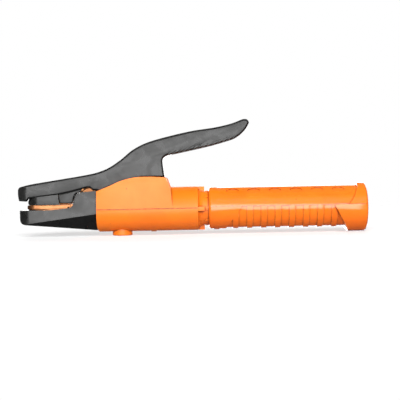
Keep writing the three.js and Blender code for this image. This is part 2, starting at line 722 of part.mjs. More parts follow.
tool.add(
  part('housing', makeHousing(), 'orange'),
  part('boss_plug', makeBossPlug(), 'orange'),
  part('housing_screw', makeHousingScrew(), 'steel'),
  part('jaw_body', makeJawBody(), 'brass'),
  part('lower_insulator', makeLowerInsulator(), 'black'),
  part('lower_screw_front', jawScrew(LOWER_SCREW_X[0], -10.5, 3.2), 'steel'),
  part('lower_screw_rear', jawScrew(LOWER_SCREW_X[1], -11.4, 3.2), 'steel'),
  part('pivot_pin', makePivotPin(), 'steel'),
  part('pivot_clip_left', pivotRing(PIN_R - 0.3, 5, 11.15, 11.55), 'steel'),
  part('pivot_clip_right', pivotRing(PIN_R - 0.3, 5, -11.55, -11.15), 'steel'),
  part('spring_seat', makeSpringSeat(), 'fibre'),
  part('return_spring', makeSpring(), 'steel'),
  part('clamp_shoe', makeClampShoe(), 'brass'),
  part('clamp_screw_front', makeClampScrew(CLAMP_SCREW_X[0]), 'steel'),
  part('clamp_screw_rear', makeClampScrew(CLAMP_SCREW_X[1]), 'steel'),
  part('barrel_sleeve', makeBarrelSleeve(), 'fibre'),
  part('lever', makeLever(), 'black'),
  part('upper_jaw', makeUpperJaw(), 'brass'),
  part('upper_shoe_front', makeUpperShoe(), 'black'),
  part('upper_shoe_rear', makeUpperHeelShoe(), 'black'),
  part('upper_screw_front', jawScrew(UPPER_SCREW_X[0], leverTopAt(UPPER_SCREW_X[0]) - 0.9, 9.6), 'steel'),
  part('upper_screw_rear', jawScrew(UPPER_SCREW_X[1], leverTopAt(UPPER_SCREW_X[1]) - 0.9, 9.6), 'steel'),
  part('spring_cap', makeSpringCap(), 'steel'),
  part('pivot_bush_left', pivotRing(PIN_R + GAP, BUSH_R, 8.2, LEVER_HALF), 'brass'),
  part('pivot_bush_right', pivotRing(PIN_R + GAP, BUSH_R, -LEVER_HALF, -8.2), 'brass'),
  part('handle', makeHandle(), 'handleOrange'),
  part('handle_lock_screw', makeLockScrew(), 'orange'),
);

export default tool;
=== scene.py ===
import json
import math

import bpy
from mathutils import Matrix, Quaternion, Vector

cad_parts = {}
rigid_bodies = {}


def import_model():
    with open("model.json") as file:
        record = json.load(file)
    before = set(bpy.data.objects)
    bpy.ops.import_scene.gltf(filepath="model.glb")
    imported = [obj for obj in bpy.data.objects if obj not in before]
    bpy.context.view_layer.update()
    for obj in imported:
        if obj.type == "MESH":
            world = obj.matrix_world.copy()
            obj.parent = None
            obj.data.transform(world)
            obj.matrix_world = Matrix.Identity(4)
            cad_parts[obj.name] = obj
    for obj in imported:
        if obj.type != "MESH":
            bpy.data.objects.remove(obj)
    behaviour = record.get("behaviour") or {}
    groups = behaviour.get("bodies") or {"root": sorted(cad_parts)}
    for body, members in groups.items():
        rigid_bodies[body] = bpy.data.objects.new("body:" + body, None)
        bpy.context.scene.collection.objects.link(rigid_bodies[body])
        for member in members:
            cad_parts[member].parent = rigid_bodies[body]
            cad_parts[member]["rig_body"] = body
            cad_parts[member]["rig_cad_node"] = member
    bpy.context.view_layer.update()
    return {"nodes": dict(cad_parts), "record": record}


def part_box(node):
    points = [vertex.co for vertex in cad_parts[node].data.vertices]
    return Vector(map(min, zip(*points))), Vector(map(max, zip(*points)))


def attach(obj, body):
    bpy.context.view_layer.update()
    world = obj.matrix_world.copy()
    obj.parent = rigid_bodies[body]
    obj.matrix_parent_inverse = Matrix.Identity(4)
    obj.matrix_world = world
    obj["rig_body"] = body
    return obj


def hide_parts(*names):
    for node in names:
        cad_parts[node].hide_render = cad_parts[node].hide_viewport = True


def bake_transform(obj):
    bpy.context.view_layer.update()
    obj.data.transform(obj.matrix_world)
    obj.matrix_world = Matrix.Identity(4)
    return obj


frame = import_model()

bl_info = {
    "name": "Electrode holder",
    "version": (1, 0, 0),
    "blender": (4, 5, 0),
    "location": "3D View > Sidebar > Electrode holder",
    "description": "Builds a tong-type electrode holder round its packed frame, piece by piece",
    "category": "Object",
}

MM = 0.001

# The tool's axis runs through the insulating sleeve of the cable barrel. Lengths below are in millimetres
# from the plane where the housing's barrel ends, heights in millimetres over the axis.
SLEEVE_LOW, SLEEVE_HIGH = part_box("barrel_sleeve")
AXIS_Z = (SLEEVE_LOW.z + SLEEVE_HIGH.z) / 2
JOINT_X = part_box("handle")[0].x - 6.5 * MM
REST_DEPTH = AXIS_Z / MM
CABLE_END = (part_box("handle")[1].x - JOINT_X) / MM
LEVER_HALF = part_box("lever")[1].y / MM
HOUSING_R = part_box("housing")[1].y / MM
INSULATOR_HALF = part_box("lower_insulator")[1].y / MM
SHOE_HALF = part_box("upper_shoe_front")[1].y / MM
PIN_LOW, PIN_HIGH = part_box("pivot_pin")
PIVOT = ((PIN_LOW + PIN_HIGH) / 2 - Vector((JOINT_X, 0, AXIS_Z))) / MM
SPRING_LOW, SPRING_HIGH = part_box("return_spring")
MID_LINE = 1.4
BOSS_X = -59.2
LOCK_SCREW_X = 12.4
GRIP_R = 15.8
UNDERSIDE_LEAN = 26.0
ROUND_STEPS = 96
SMALL_STEPS = 40


def spot(x, z, y=0.0):
    """A place given from the tool's axis in millimetres, as metres in the frame."""
    return Vector((JOINT_X + x * MM, y * MM, AXIS_Z + z * MM))


# ---------------------------------------------------------------- outlines

def smooth(points, steps=6):
    """A soft curve through the points, without its first one's repeat."""
    ends = [points[0], *points, points[-1]]
    curve = [points[0]]
    for place in range(len(points) - 1):
        p0, p1, p2, p3 = ends[place:place + 4]
        for step in range(1, steps + 1):
            t = step / steps
            curve.append(tuple(
                0.5 * (2 * b + (c - a) * t + (2 * a - 5 * b + 4 * c - d) * t ** 2
                       + (3 * b - a - 3 * c + d) * t ** 3)
                for a, b, c, d in zip(p0, p1, p2, p3)
            ))
    return curve


def corner(start, control, end, steps=8):
    """A round corner from start to end that leans towards control."""
    curve = []
    for step in range(steps + 1):
        t = step / steps
        curve.append(tuple(
            (1 - t) ** 2 * a + 2 * t * (1 - t) * b + t ** 2 * c for a, b, c in zip(start, control, end)
        ))
    return curve


def swing(start, first, second, end, steps=14):
    """An S-shaped stretch from start to end with its two control points."""
    curve = []
    for step in range(steps + 1):
        t = step / steps
        curve.append(tuple(
            (1 - t) ** 3 * a + 3 * t * (1 - t) ** 2 * b + 3 * t ** 2 * (1 - t) * c + t ** 3 * d
            for a, b, c, d in zip(start, first, second, end)
        ))
    return curve


def arc(centre, radii, from_angle, to_angle, steps=16):
    """Part of an ellipse, angles in degrees."""
    curve = []
    for step in range(steps + 1):
        turn = math.radians(from_angle + (to_angle - from_angle) * step / steps)
        curve.append((centre[0] + radii[0] * math.cos(turn), centre[1] + radii[1] * math.sin(turn)))
    return curve


# ---------------------------------------------------------------- hand tools

def pick(piece):
    """Select this piece alone and make it active."""
    bpy.ops.object.select_all(action="DESELECT")
    piece.select_set(True)
    bpy.context.view_layer.objects.active = piece


def edit(piece):
    pick(piece)
    bpy.ops.object.mode_set(mode="EDIT")
    bpy.ops.mesh.select_all(action="SELECT")


def leave_edit():
    bpy.ops.object.mode_set(mode="OBJECT")


def tidy_mesh(piece):
    """Merge doubled points and turn all faces outwards."""
    edit(piece)
    bpy.ops.mesh.remove_doubles(threshold=1e-6)
    bpy.ops.mesh.normals_make_consistent(inside=False)
    leave_edit()


def settle(piece, name):
    """Put the piece's origin at the frame's origin, unturned and unscaled."""
    pick(piece)
    bpy.ops.object.transform_apply(location=True, rotation=True, scale=True)
    piece.name = name
    piece.data.name = name
    return piece


def draw_line(points):
    """Draw a line by extruding one point along it. Leaves the new object in edit mode, all selected."""
    bpy.ops.object.select_all(action="DESELECT")
    bpy.ops.mesh.primitive_plane_add(size=MM, location=points[0])
    bpy.ops.object.mode_set(mode="EDIT")
    bpy.ops.mesh.select_all(action="SELECT")
    bpy.ops.mesh.merge(type="CENTER")
    for here, there in zip(points, points[1:]):
        bpy.ops.mesh.extrude_region_move(TRANSFORM_OT_translate={"value": there - here})
    bpy.ops.mesh.select_all(action="SELECT")
    return bpy.context.object


def without_repeats(outline):
    """The outline with neighbours at the same place dropped."""
    kept = []
    for point in outline:
        if not kept or math.dist(point, kept[-1]) > 0.02:
            kept.append(point)
    if math.dist(kept[0], kept[-1]) <= 0.02:
        kept.pop()
    return kept


def plate(name, outline, half_width, y=0.0):
    """An outline in the x-z plane, thickened to both sides of y."""
    points = [spot(x, z, y - half_width) for x, z in without_repeats(outline)]
    piece = draw_line(points)
    bpy.ops.mesh.edge_face_add()
    bpy.ops.mesh.extrude_region_move(TRANSFORM_OT_translate={"value": (0, 2 * half_width * MM, 0)})
    leave_edit()
    settle(piece, name)
    tidy_mesh(piece)
    return piece


def slab(name, outline, z0, z1):
    """An outline in the x-y plane, from height z0 to z1."""
    points = [spot(x, z0, y) for x, y in without_repeats(outline)]
    piece = draw_line(points)
    bpy.ops.mesh.edge_face_add()
    bpy.ops.mesh.extrude_region_move(TRANSFORM_OT_translate={"value": (0, 0, (z1 - z0) * MM)})
    leave_edit()
    settle(piece, name)
    tidy_mesh(piece)
    return piece


def turned(name, profile, steps=ROUND_STEPS, drop=0.0):
    """A profile of (x, radius) points spun about the tool's axis, or about a line that far under it."""
    piece = draw_line([spot(x, r - drop) for x, r in profile])
    bpy.ops.mesh.spin(steps=steps, angle=math.tau, center=spot(0, -drop), axis=(1, 0, 0))
    leave_edit()
    settle(piece, name)
    tidy_mesh(piece)
    return piece


def turned_upright(name, profile, x, steps=SMALL_STEPS):
    """A profile of (z, radius) points spun about an upright line at x."""
    piece = draw_line([spot(x + r, z) for z, r in profile])
    bpy.ops.mesh.spin(steps=steps, angle=math.tau, center=spot(x, 0), axis=(0, 0, 1))
    leave_edit()
    settle(piece, name)
    tidy_mesh(piece)
    return piece


def rod(name, x0, x1, radius, steps=ROUND_STEPS):
    return turned(name, [(x0, 0), (x0, radius), (x1, radius), (x1, 0)], steps)


def post(name, x, z0, z1, radius, steps=SMALL_STEPS):
    return turned_upright(name, [(z0, 0), (z0, radius), (z1, radius), (z1, 0)], x, steps)


def block(name, low, high):
    """A box between two corners, given as (x, y, z) in the tool's millimetres."""
    size = [(b - a) * MM for a, b in zip(low, high)]
    middle = [(a + b) / 2 for a, b in zip(low, high)]
    bpy.ops.object.select_all(action="DESELECT")
    bpy.ops.mesh.primitive_cube_add(size=1, location=spot(middle[0], middle[2], middle[1]), scale=size)
    return settle(bpy.context.object, name)


def across(name, x, z, radius, half_length, steps=SMALL_STEPS):
    """A round bar across the tool."""
    bpy.ops.object.select_all(action="DESELECT")
    bpy.ops.mesh.primitive_cylinder_add(
        vertices=steps, radius=radius * MM, depth=2 * half_length * MM,
        location=spot(x, z), rotation=(math.pi / 2, 0, 0),
    )
    return settle(bpy.context.object, name)


def turn_about_axis(piece, degrees):
    """Turn a piece about the tool's axis."""
    edit(piece)
    bpy.ops.transform.rotate(value=math.radians(degrees), orient_axis="X", center_override=spot(0, 0))
    leave_edit()


def ring(name, x0, x1, inner, outer):
    return turned(name, [(x0, outer), (x1, outer), (x1, inner), (x0, inner), (x0, outer)])


def shave(piece, edge, side):
    """Cut a slanted flat along one lower edge with the bisect tool."""
    along = (edge[1] - edge[0]).normalized()
    lean = math.radians(UNDERSIDE_LEAN)
    inwards = Vector((0, -side * math.sin(lean), -math.cos(lean)))
    normal = along.cross(inwards).normalized() * side
    edit(piece)
    bpy.ops.mesh.bisect(plane_co=edge[0], plane_no=normal, use_fill=True, clear_outer=normal.z < 0,
                        clear_inner=normal.z >= 0)
    leave_edit()


def together(pieces):
    """Several cutters as one object."""
    bpy.ops.object.select_all(action="DESELECT")
    for piece in pieces:
        piece.select_set(True)
    bpy.context.view_layer.objects.active = pieces[0]
    if len(pieces) > 1:
        bpy.ops.object.join()
    return pieces[0]


def combine(piece, tool, operation):
    pick(piece)
    bpy.ops.object.modifier_add(type="BOOLEAN")
    change = piece.modifiers[-1]
    change.operation = operation
    change.solver = "MANIFOLD"
    change.object = tool
    bpy.ops.object.modifier_apply(modifier=change.name)
    bpy.data.objects.remove(tool)
    return piece


def cut(piece, *tools):
    for tool in tools:
        combine(piece, tool, "DIFFERENCE")
    return piece


def weld(piece, *others):
    for other in others:
        combine(piece, other, "UNION")
    return piece


def keep_inside(piece, tool):
    return combine(piece, tool, "INTERSECT")


def flatten_faces(piece):
    """Join the slivers that cutting leaves on flat faces."""
    edit(piece)
    bpy.ops.mesh.remove_doubles(threshold=4e-6)
    bpy.ops.mesh.dissolve_limited(angle_limit=math.radians(0.4))
    leave_edit()
    return piece


def soften(piece, width, steps=2, angle=32.0):
    """Round every edge that is sharper than the angle, in degrees."""
    pick(piece)
    bpy.ops.object.modifier_add(type="BEVEL")
    change = piece.modifiers[-1]
    change.width = width * MM
    change.segments = steps
    change.limit_method = "ANGLE"
    change.angle_limit = math.radians(angle)
    change.use_clamp_overlap = True
    change.harden_normals = False
    bpy.ops.object.modifier_apply(modifier=change.name)
    return piece


def round_rims(piece, width, steps=5):
    """Round the outline edges of a plate's two sides."""
    edit(piece)
    bpy.ops.mesh.select_mode(type="FACE")
    bpy.ops.mesh.select_face_by_sides(number=4, type="GREATER", extend=False)
    bpy.ops.mesh.select_mode(type="EDGE")
    bpy.ops.mesh.region_to_loop()
    bpy.ops.mesh.bevel(offset=width * MM, segments=steps, affect="EDGES", clamp_overlap=False)
    bpy.ops.mesh.select_mode(type="VERT")
    leave_edit()
    tidy_mesh(piece)
    return piece


def smooth_shade(piece, angle):
    pick(piece)
    bpy.ops.object.shade_smooth_by_angle(angle=math.radians(angle))
    return piece


def finish_piece(piece, body, nodes, paint, angle=30.0):
    """Shade the piece smooth, give it its finish, let it ride on its body, if it has one, and hide the nodes
    that it stands in for.
    """
    smooth_shade(piece, angle)
    piece.data.materials.clear()
    piece.data.materials.append(paint)
    if body:
        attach(piece, body)
    if nodes:
        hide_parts(*nodes)
    return piece


def finer_copy(node, name, width, steps=2):
    """A copy of a plain solid with its points merged, its flats joined and its edges rounded."""
    pick(frame["nodes"][node])
    bpy.ops.object.duplicate()
    piece = bpy.context.object
    piece.parent = None
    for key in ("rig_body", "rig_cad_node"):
        if key in piece:
            del piece[key]
    piece.name = name
    piece.data.name = name
    edit(piece)
    bpy.ops.mesh.remove_doubles(threshold=2e-6)
    bpy.ops.mesh.dissolve_limited(angle_limit=math.radians(1))
    leave_edit()
    if width:
        soften(piece, width, steps)
    return piece


# ---------------------------------------------------------------- materials

def socket(group, name, direction, kind="NodeSocketFloat", value=None):
    made = group.interface.new_socket(name=name, in_out=direction, socket_type=kind)
    if value is not None:
        made.default_value = value
    return made


def put(tree, kind, **settings):
    """Add a node; settings that name an input set its value, the others set the node's own."""
    made = tree.nodes.new(kind)
    for key, value in settings.items():
        label = key.replace("_", " ")
        if label in made.inputs:
            made.inputs[label].default_value = value
        else:
            setattr(made, key, value)
    return made


def grain_group():
    """Moulded grain: a fine height, a broad mottle and sparse specks, all over Object coordinates."""
    group = bpy.data.node_groups.new("moulded_grain", "ShaderNodeTree")
    socket(group, "Grain Scale", "INPUT", value=900.0)
    socket(group, "Mottle Scale", "INPUT", value=60.0)
    socket(group, "Speck Scale", "INPUT", value=260.0)
    socket(group, "Height", "OUTPUT")
    socket(group, "Mottle", "OUTPUT")
    socket(group, "Specks", "OUTPUT")
    links = group.links
    start = put(group, "NodeGroupInput")
    end = put(group, "NodeGroupOutput")
    place = put(group, "ShaderNodeTexCoord")
    fine = put(group, "ShaderNodeTexNoise", Detail=3.0, Roughness=0.6)
    broad = put(group, "ShaderNodeTexNoise", Detail=4.0, Roughness=0.62, Distortion=0.6)
    dots = put(group, "ShaderNodeTexVoronoi")
    for texture, scale in ((fine, "Grain Scale"), (broad, "Mottle Scale"), (dots, "Speck Scale")):
        links.new(place.outputs["Object"], texture.inputs["Vector"])
        links.new(start.outputs[scale], texture.inputs["Scale"])
    spread = put(group, "ShaderNodeMapRange", interpolation_type="SMOOTHSTEP")
    spread.inputs["From Min"].default_value = 0.3
    spread.inputs["From Max"].default_value = 0.7
    links.new(broad.outputs["Fac"], spread.inputs["Value"])
    near = put(group, "ShaderNodeMapRange", interpolation_type="SMOOTHSTEP")
    near.inputs["From Min"].default_value = 0.16
    near.inputs["From Max"].default_value = 0.05
    links.new(dots.outputs["Distance"], near.inputs["Value"])
    rare = put(group, "ShaderNodeMath", operation="GREATER_THAN")
    rare.inputs[1].default_value = 0.93
    split = put(group, "ShaderNodeSeparateColor")
    links.new(dots.outputs["Color"], split.inputs["Color"])
    links.new(split.outputs["Red"], rare.inputs[0])
    both = put(group, "ShaderNodeMath", operation="MULTIPLY")
    links.new(near.outputs["Result"], both.inputs[0])
    links.new(rare.outputs["Value"], both.inputs[1])
    links.new(fine.outputs["Fac"], end.inputs["Height"])
    links.new(spread.outputs["Result"], end.inputs["Mottle"])
    links.new(both.outputs["Value"], end.inputs["Specks"])
    return group


def edge_wear_highlight_group():
    """Edges, found from bent normals next to an edge and broken up by noise: rubbed wear, and on the orange
    nylon partly painted highlight.
    """
    group = bpy.data.node_groups.new("edge_wear_and_highlight", "ShaderNodeTree")
    socket(group, "Reach", "INPUT", value=0.0008)
    socket(group, "Breakup Scale", "INPUT", value=400.0)
    socket(group, "Wear And Highlight", "OUTPUT")
    links = group.links
    start = put(group, "NodeGroupInput")
    end = put(group, "NodeGroupOutput")
    place = put(group, "ShaderNodeTexCoord")
    noise = put(group, "ShaderNodeTexNoise", Detail=4.0, Roughness=0.7)
    links.new(place.outputs["Object"], noise.inputs["Vector"])
    links.new(start.outputs["Breakup Scale"], noise.inputs["Scale"])
    rounded = put(group, "ShaderNodeBevel", samples=4)
    links.new(start.outputs["Reach"], rounded.inputs["Radius"])
    shape = put(group, "ShaderNodeNewGeometry")
    dot = put(group, "ShaderNodeVectorMath", operation="DOT_PRODUCT")
    links.new(rounded.outputs["Normal"], dot.inputs[0])
    links.new(shape.outputs["Normal"], dot.inputs[1])
    edge = put(group, "ShaderNodeMapRange", interpolation_type="SMOOTHSTEP")
    edge.inputs["From Min"].default_value = 0.995
    edge.inputs["From Max"].default_value = 0.9
    links.new(dot.outputs["Value"], edge.inputs["Value"])
    broken = put(group, "ShaderNodeMapRange", interpolation_type="SMOOTHSTEP")
    broken.inputs["From Min"].default_value = 0.42
    broken.inputs["From Max"].default_value = 0.62
    links.new(noise.outputs["Fac"], broken.inputs["Value"])
    both = put(group, "ShaderNodeMath", operation="MULTIPLY")
    links.new(edge.outputs["Result"], both.inputs[0])
    links.new(broken.outputs["Result"], both.inputs[1])
    links.new(both.outputs["Value"], end.inputs["Wear And Highlight"])
    return group


def painted_crevice_shade_group():
    """Painted shade: darker where a surface is shut in by others close by, read from ambient occlusion and
    broken up a little by noise.
    """
    group = bpy.data.node_groups.new("painted_crevice_shade", "ShaderNodeTree")
    socket(group, "Reach", "INPUT", value=0.002)
    socket(group, "Painted Shade", "OUTPUT")
    links = group.links
    start = put(group, "NodeGroupInput")
    end = put(group, "NodeGroupOutput")
    open_sky = put(group, "ShaderNodeAmbientOcclusion", samples=8)
    links.new(start.outputs["Reach"], open_sky.inputs["Distance"])
    shut = put(group, "ShaderNodeMapRange", interpolation_type="SMOOTHSTEP")
    shut.inputs["From Min"].default_value = 0.96
    shut.inputs["From Max"].default_value = 0.66
    links.new(open_sky.outputs["AO"], shut.inputs["Value"])
    place = put(group, "ShaderNodeTexCoord")
    noise = put(group, "ShaderNodeTexNoise", Scale=350.0, Detail=3.0)
    links.new(place.outputs["Object"], noise.inputs["Vector"])
    broken = put(group, "ShaderNodeMapRange")
    broken.inputs["To Min"].default_value = 0.6
    links.new(noise.outputs["Fac"], broken.inputs["Value"])
    both = put(group, "ShaderNodeMath", operation="MULTIPLY")
    links.new(shut.outputs["Result"], both.inputs[0])
    links.new(broken.outputs["Result"], both.inputs[1])
    links.new(both.outputs["Value"], end.inputs["Painted Shade"])
    return group


def shared(name, build):
    return bpy.data.node_groups.get(name) or build()


def start_material(name):
    material = bpy.data.materials.new(name)
    material.use_nodes = True
    tree = material.node_tree
    tree.nodes.clear()
    surface = put(tree, "ShaderNodeBsdfPrincipled")
    out = put(tree, "ShaderNodeOutputMaterial")
    tree.links.new(surface.outputs["BSDF"], out.inputs["Surface"])
    return material, tree, surface


def blend_colour(tree, low, high, mask):
    """A mix of two colours, each a colour value or an output, by a mask output."""
    mix = put(tree, "ShaderNodeMix", data_type="RGBA")
    tree.links.new(mask, mix.inputs["Factor"])
    for index, value in ((6, low), (7, high)):
        if isinstance(value, bpy.types.NodeSocket):
            tree.links.new(value, mix.inputs[index])
        else:
            mix.inputs[index].default_value = (*value, 1)
    return mix.outputs[2]


def ranged(tree, value, low, high):
    """A 0 to 1 value spread between low and high."""
    spread = put(tree, "ShaderNodeMapRange")
    spread.inputs["To Min"].default_value = low
    spread.inputs["To Max"].default_value = high
    tree.links.new(value, spread.inputs["Value"])
    return spread.outputs["Result"]


def add_bump(tree, surface, height, strength, distance):
    bump = put(tree, "ShaderNodeBump", Strength=strength, Distance=distance)
    tree.links.new(height, bump.inputs["Height"])
    tree.links.new(bump.outputs["Normal"], surface.inputs["Normal"])


def grained(tree, grain, mottle, speck):
    node = put(tree, "ShaderNodeGroup", node_tree=shared("moulded_grain", grain_group))
    node.inputs["Grain Scale"].default_value = grain
    node.inputs["Mottle Scale"].default_value = mottle
    node.inputs["Speck Scale"].default_value = speck
    return node


def edge_wear_highlight_mask(tree, reach, breakup):
    node = put(tree, "ShaderNodeGroup", node_tree=shared("edge_wear_and_highlight", edge_wear_highlight_group))
    node.inputs["Reach"].default_value = reach
    node.inputs["Breakup Scale"].default_value = breakup
    return node.outputs["Wear And Highlight"]


def paint_crevice_shade(tree, reach):
    node = put(tree, "ShaderNodeGroup", node_tree=shared("painted_crevice_shade", painted_crevice_shade_group))
    node.inputs["Reach"].default_value = reach
    return node.outputs["Painted Shade"]


def moulded_nylon(name, colour, deep, pale, roughness, shine):
    """Semi-gloss orange nylon with cloudy flow marks, dark specks, painted shade in its corners and paler
    edges that are partly wear and partly painted highlight.
    """
    material, tree, surface = start_material(name)
    grain = grained(tree, 1500.0, 38.0, 230.0)
    body = blend_colour(tree, deep, colour, ranged(tree, grain.outputs["Mottle"], 0.35, 1.0))
    # Painted shade: the colour goes darker where ambient occlusion finds close surfaces, as in grooves,
    # dimples and corners.
    with_painted_crevice_shade = blend_colour(tree, body, tuple(c * 0.4 for c in deep), paint_crevice_shade(tree, 0.0018))
    # Paler edges: partly wear, partly painted highlight that lightens the edges of the grooves and dimples.
    worn_and_highlit = blend_colour(tree, with_painted_crevice_shade, pale, ranged(tree, edge_wear_highlight_mask(tree, 0.0006, 300.0), 0.0, 0.7))
    spotted = blend_colour(tree, worn_and_highlit, tuple(c * 0.45 for c in deep), grain.outputs["Specks"])
    tree.links.new(spotted, surface.inputs["Base Color"])
    gloss = ranged(tree, grain.outputs["Mottle"], roughness * 1.1, roughness * 0.92)
    tree.links.new(gloss, surface.inputs["Roughness"])
    surface.inputs["Specular IOR Level"].default_value = shine
    add_bump(tree, surface, grain.outputs["Height"], 0.10, 0.00008)
    return material


def black_resin(name, colour, dusty, scuff):
    """Black moulded resin, greyed by dust and handling, with scuffs along its edges; faces turned downwards
    are kept black as painted shade.
    """
    material, tree, surface = start_material(name)
    grain = grained(tree, 1100.0, 95.0, 420.0)
    place = put(tree, "ShaderNodeTexCoord")
    stretch = put(tree, "ShaderNodeMapping")
    stretch.inputs["Scale"].default_value = (70.0, 260.0, 300.0)
    streaks = put(tree, "ShaderNodeTexNoise", Scale=1.0, Detail=5.0, Roughness=0.65)
    tree.links.new(place.outputs["Object"], stretch.inputs["Vector"])
    tree.links.new(stretch.outputs["Vector"], streaks.inputs["Vector"])
    dust = put(tree, "ShaderNodeMath", operation="MULTIPLY")
    tree.links.new(grain.outputs["Mottle"], dust.inputs[0])
    tree.links.new(ranged(tree, streaks.outputs["Fac"], 0.2, 1.5), dust.inputs[1])
    # Painted shade: no dust grey on faces that turn downwards, so the undersides stay darker.
    shape = put(tree, "ShaderNodeNewGeometry")
    parts = put(tree, "ShaderNodeSeparateXYZ")
    tree.links.new(shape.outputs["Normal"], parts.inputs["Vector"])
    clear_of_underside_shade = put(tree, "ShaderNodeMapRange", interpolation_type="SMOOTHSTEP")
    clear_of_underside_shade.inputs["From Min"].default_value = -0.4
    clear_of_underside_shade.inputs["From Max"].default_value = -0.05
    tree.links.new(parts.outputs["Z"], clear_of_underside_shade.inputs["Value"])
    dust_and_underside_shade = put(tree, "ShaderNodeMath", operation="MULTIPLY")
    tree.links.new(dust.outputs["Value"], dust_and_underside_shade.inputs[0])
    tree.links.new(clear_of_underside_shade.outputs["Result"], dust_and_underside_shade.inputs[1])
    body = blend_colour(tree, colour, dusty, dust_and_underside_shade.outputs["Value"])
    marked = blend_colour(tree, body, scuff, ranged(tree, edge_wear_highlight_mask(tree, 0.0005, 300.0), 0.0, 0.35))
    tree.links.new(marked, surface.inputs["Base Color"])
    tree.links.new(ranged(tree, grain.outputs["Mottle"], 0.22, 0.42), surface.inputs["Roughness"])
    surface.inputs["Specular IOR Level"].default_value = 0.64
    add_bump(tree, surface, grain.outputs["Height"], 0.25, 0.0001)
    return material


def worked_metal(name, colour, dull, roughness, line_scale):
    """Machined metal with fine lines along the tool and duller clouds."""
    material, tree, surface = start_material(name)
    place = put(tree, "ShaderNodeTexCoord")
    stretch = put(tree, "ShaderNodeMapping")
    stretch.inputs["Scale"].default_value = line_scale
    lines = put(tree, "ShaderNodeTexNoise", Scale=1.0, Detail=4.0, Roughness=0.6)
    tree.links.new(place.outputs["Object"], stretch.inputs["Vector"])
    tree.links.new(stretch.outputs["Vector"], lines.inputs["Vector"])
    grain = grained(tree, 1300.0, 120.0, 500.0)
    tone = blend_colour(tree, colour, dull, ranged(tree, grain.outputs["Mottle"], 0.0, 0.6))
    brightest = tuple(min(1.0, c * 1.15) for c in colour)
    bright = blend_colour(tree, tone, brightest, edge_wear_highlight_mask(tree, 0.0004, 700.0))
    tree.links.new(bright, surface.inputs["Base Color"])
    gloss = ranged(tree, lines.outputs["Fac"], roughness * 0.7, roughness * 1.4)
    tree.links.new(gloss, surface.inputs["Roughness"])
    surface.inputs["Metallic"].default_value = 1.0
    add_bump(tree, surface, lines.outputs["Fac"], 0.12, 0.00005)
    return material


def pressed_fibre(name, colour, dark):
    """Brown vulcanised fibre with a faint layered grain."""
    material, tree, surface = start_material(name)
    grain = grained(tree, 700.0, 150.0, 300.0)
    tone = blend_colour(tree, dark, colour, grain.outputs["Mottle"])
    tree.links.new(tone, surface.inputs["Base Color"])
    tree.links.new(ranged(tree, grain.outputs["Mottle"], 0.85, 0.7), surface.inputs["Roughness"])
    add_bump(tree, surface, grain.outputs["Height"], 0.3, 0.0001)
    return material


def plain_paper(name, colour):
    """The pale sheet under the tool, with a barely visible tooth."""
    material, tree, surface = start_material(name)
    grain = grained(tree, 400.0, 12.0, 60.0)
    tone = blend_colour(tree, tuple(c * 0.985 for c in colour), colour, grain.outputs["Mottle"])
    tree.links.new(tone, surface.inputs["Base Color"])
    tree.links.new(tone, surface.inputs["Emission Color"])
    surface.inputs["Roughness"].default_value = 0.9
    surface.inputs["Specular IOR Level"].default_value = 0.1
    seen = put(tree, "ShaderNodeLightPath")
    glow = ranged(tree, seen.outputs["Is Camera Ray"], 0.0, 0.75)
    tree.links.new(glow, surface.inputs["Emission Strength"])
    place = put(tree, "ShaderNodeTexCoord")
    reach = put(tree, "ShaderNodeVectorMath", operation="LENGTH")
    tree.links.new(place.outputs["Object"], reach.inputs[0])
    fade = put(tree, "ShaderNodeMapRange", interpolation_type="SMOOTHSTEP")
    fade.inputs["From Min"].default_value = 0.3
    fade.inputs["From Max"].default_value = 0.6
    fade.inputs["To Min"].default_value = 1.0
    fade.inputs["To Max"].default_value = 0.0
    tree.links.new(reach.outputs["Value"], fade.inputs["Value"])
    tree.links.new(fade.outputs["Result"], surface.inputs["Alpha"])
    add_bump(tree, surface, grain.outputs["Height"], 0.05, 0.0002)
    return material


def finish_named(name):
    """The material of this name, made the first time it is asked for."""
    found = bpy.data.materials.get(name)
    if found:
        return found
    colours = bpy.context.scene.holder_colours
    if name == "housing_nylon":
        return moulded_nylon(name, colours.housing, (0.84, 0.16, 0.007), (0.95, 0.3, 0.05), 0.38, 0.45)
    if name == "handle_nylon":
        return moulded_nylon(name, colours.handle, (0.85, 0.15, 0.008), (0.95, 0.32, 0.07), 0.16, 0.85)
    if name == "lever_resin":
        return black_resin(name, colours.black, colours.dust, (0.22, 0.21, 0.2))
    if name == "insulator_resin":
        return black_resin(name, colours.black, colours.dust, (0.3, 0.28, 0.25))
    if name == "jaw_copper":
        return worked_metal(name, colours.copper, (0.34, 0.12, 0.05), 0.36, (60.0, 900.0, 900.0))
    if name == "zinc_steel":
        return worked_metal(name, (0.55, 0.56, 0.58), (0.34, 0.35, 0.37), 0.34, (500.0, 500.0, 90.0))
    if name == "brown_fibre":
        return pressed_fibre(name, (0.28, 0.14, 0.07), (0.12, 0.06, 0.035))
    return plain_paper(name, colours.floor)


# ---------------------------------------------------------------- settings

def colour_setting(name, description, value):
    return bpy.props.FloatVectorProperty(
        name=name, description=description, subtype="COLOR", size=3, min=0.0, max=1.0, default=value,
    )


def length_setting(name, description, value):
    return bpy.props.FloatProperty(
        name=name, description=description, default=value * MM, min=0.0, unit="LENGTH", subtype="DISTANCE",
    )


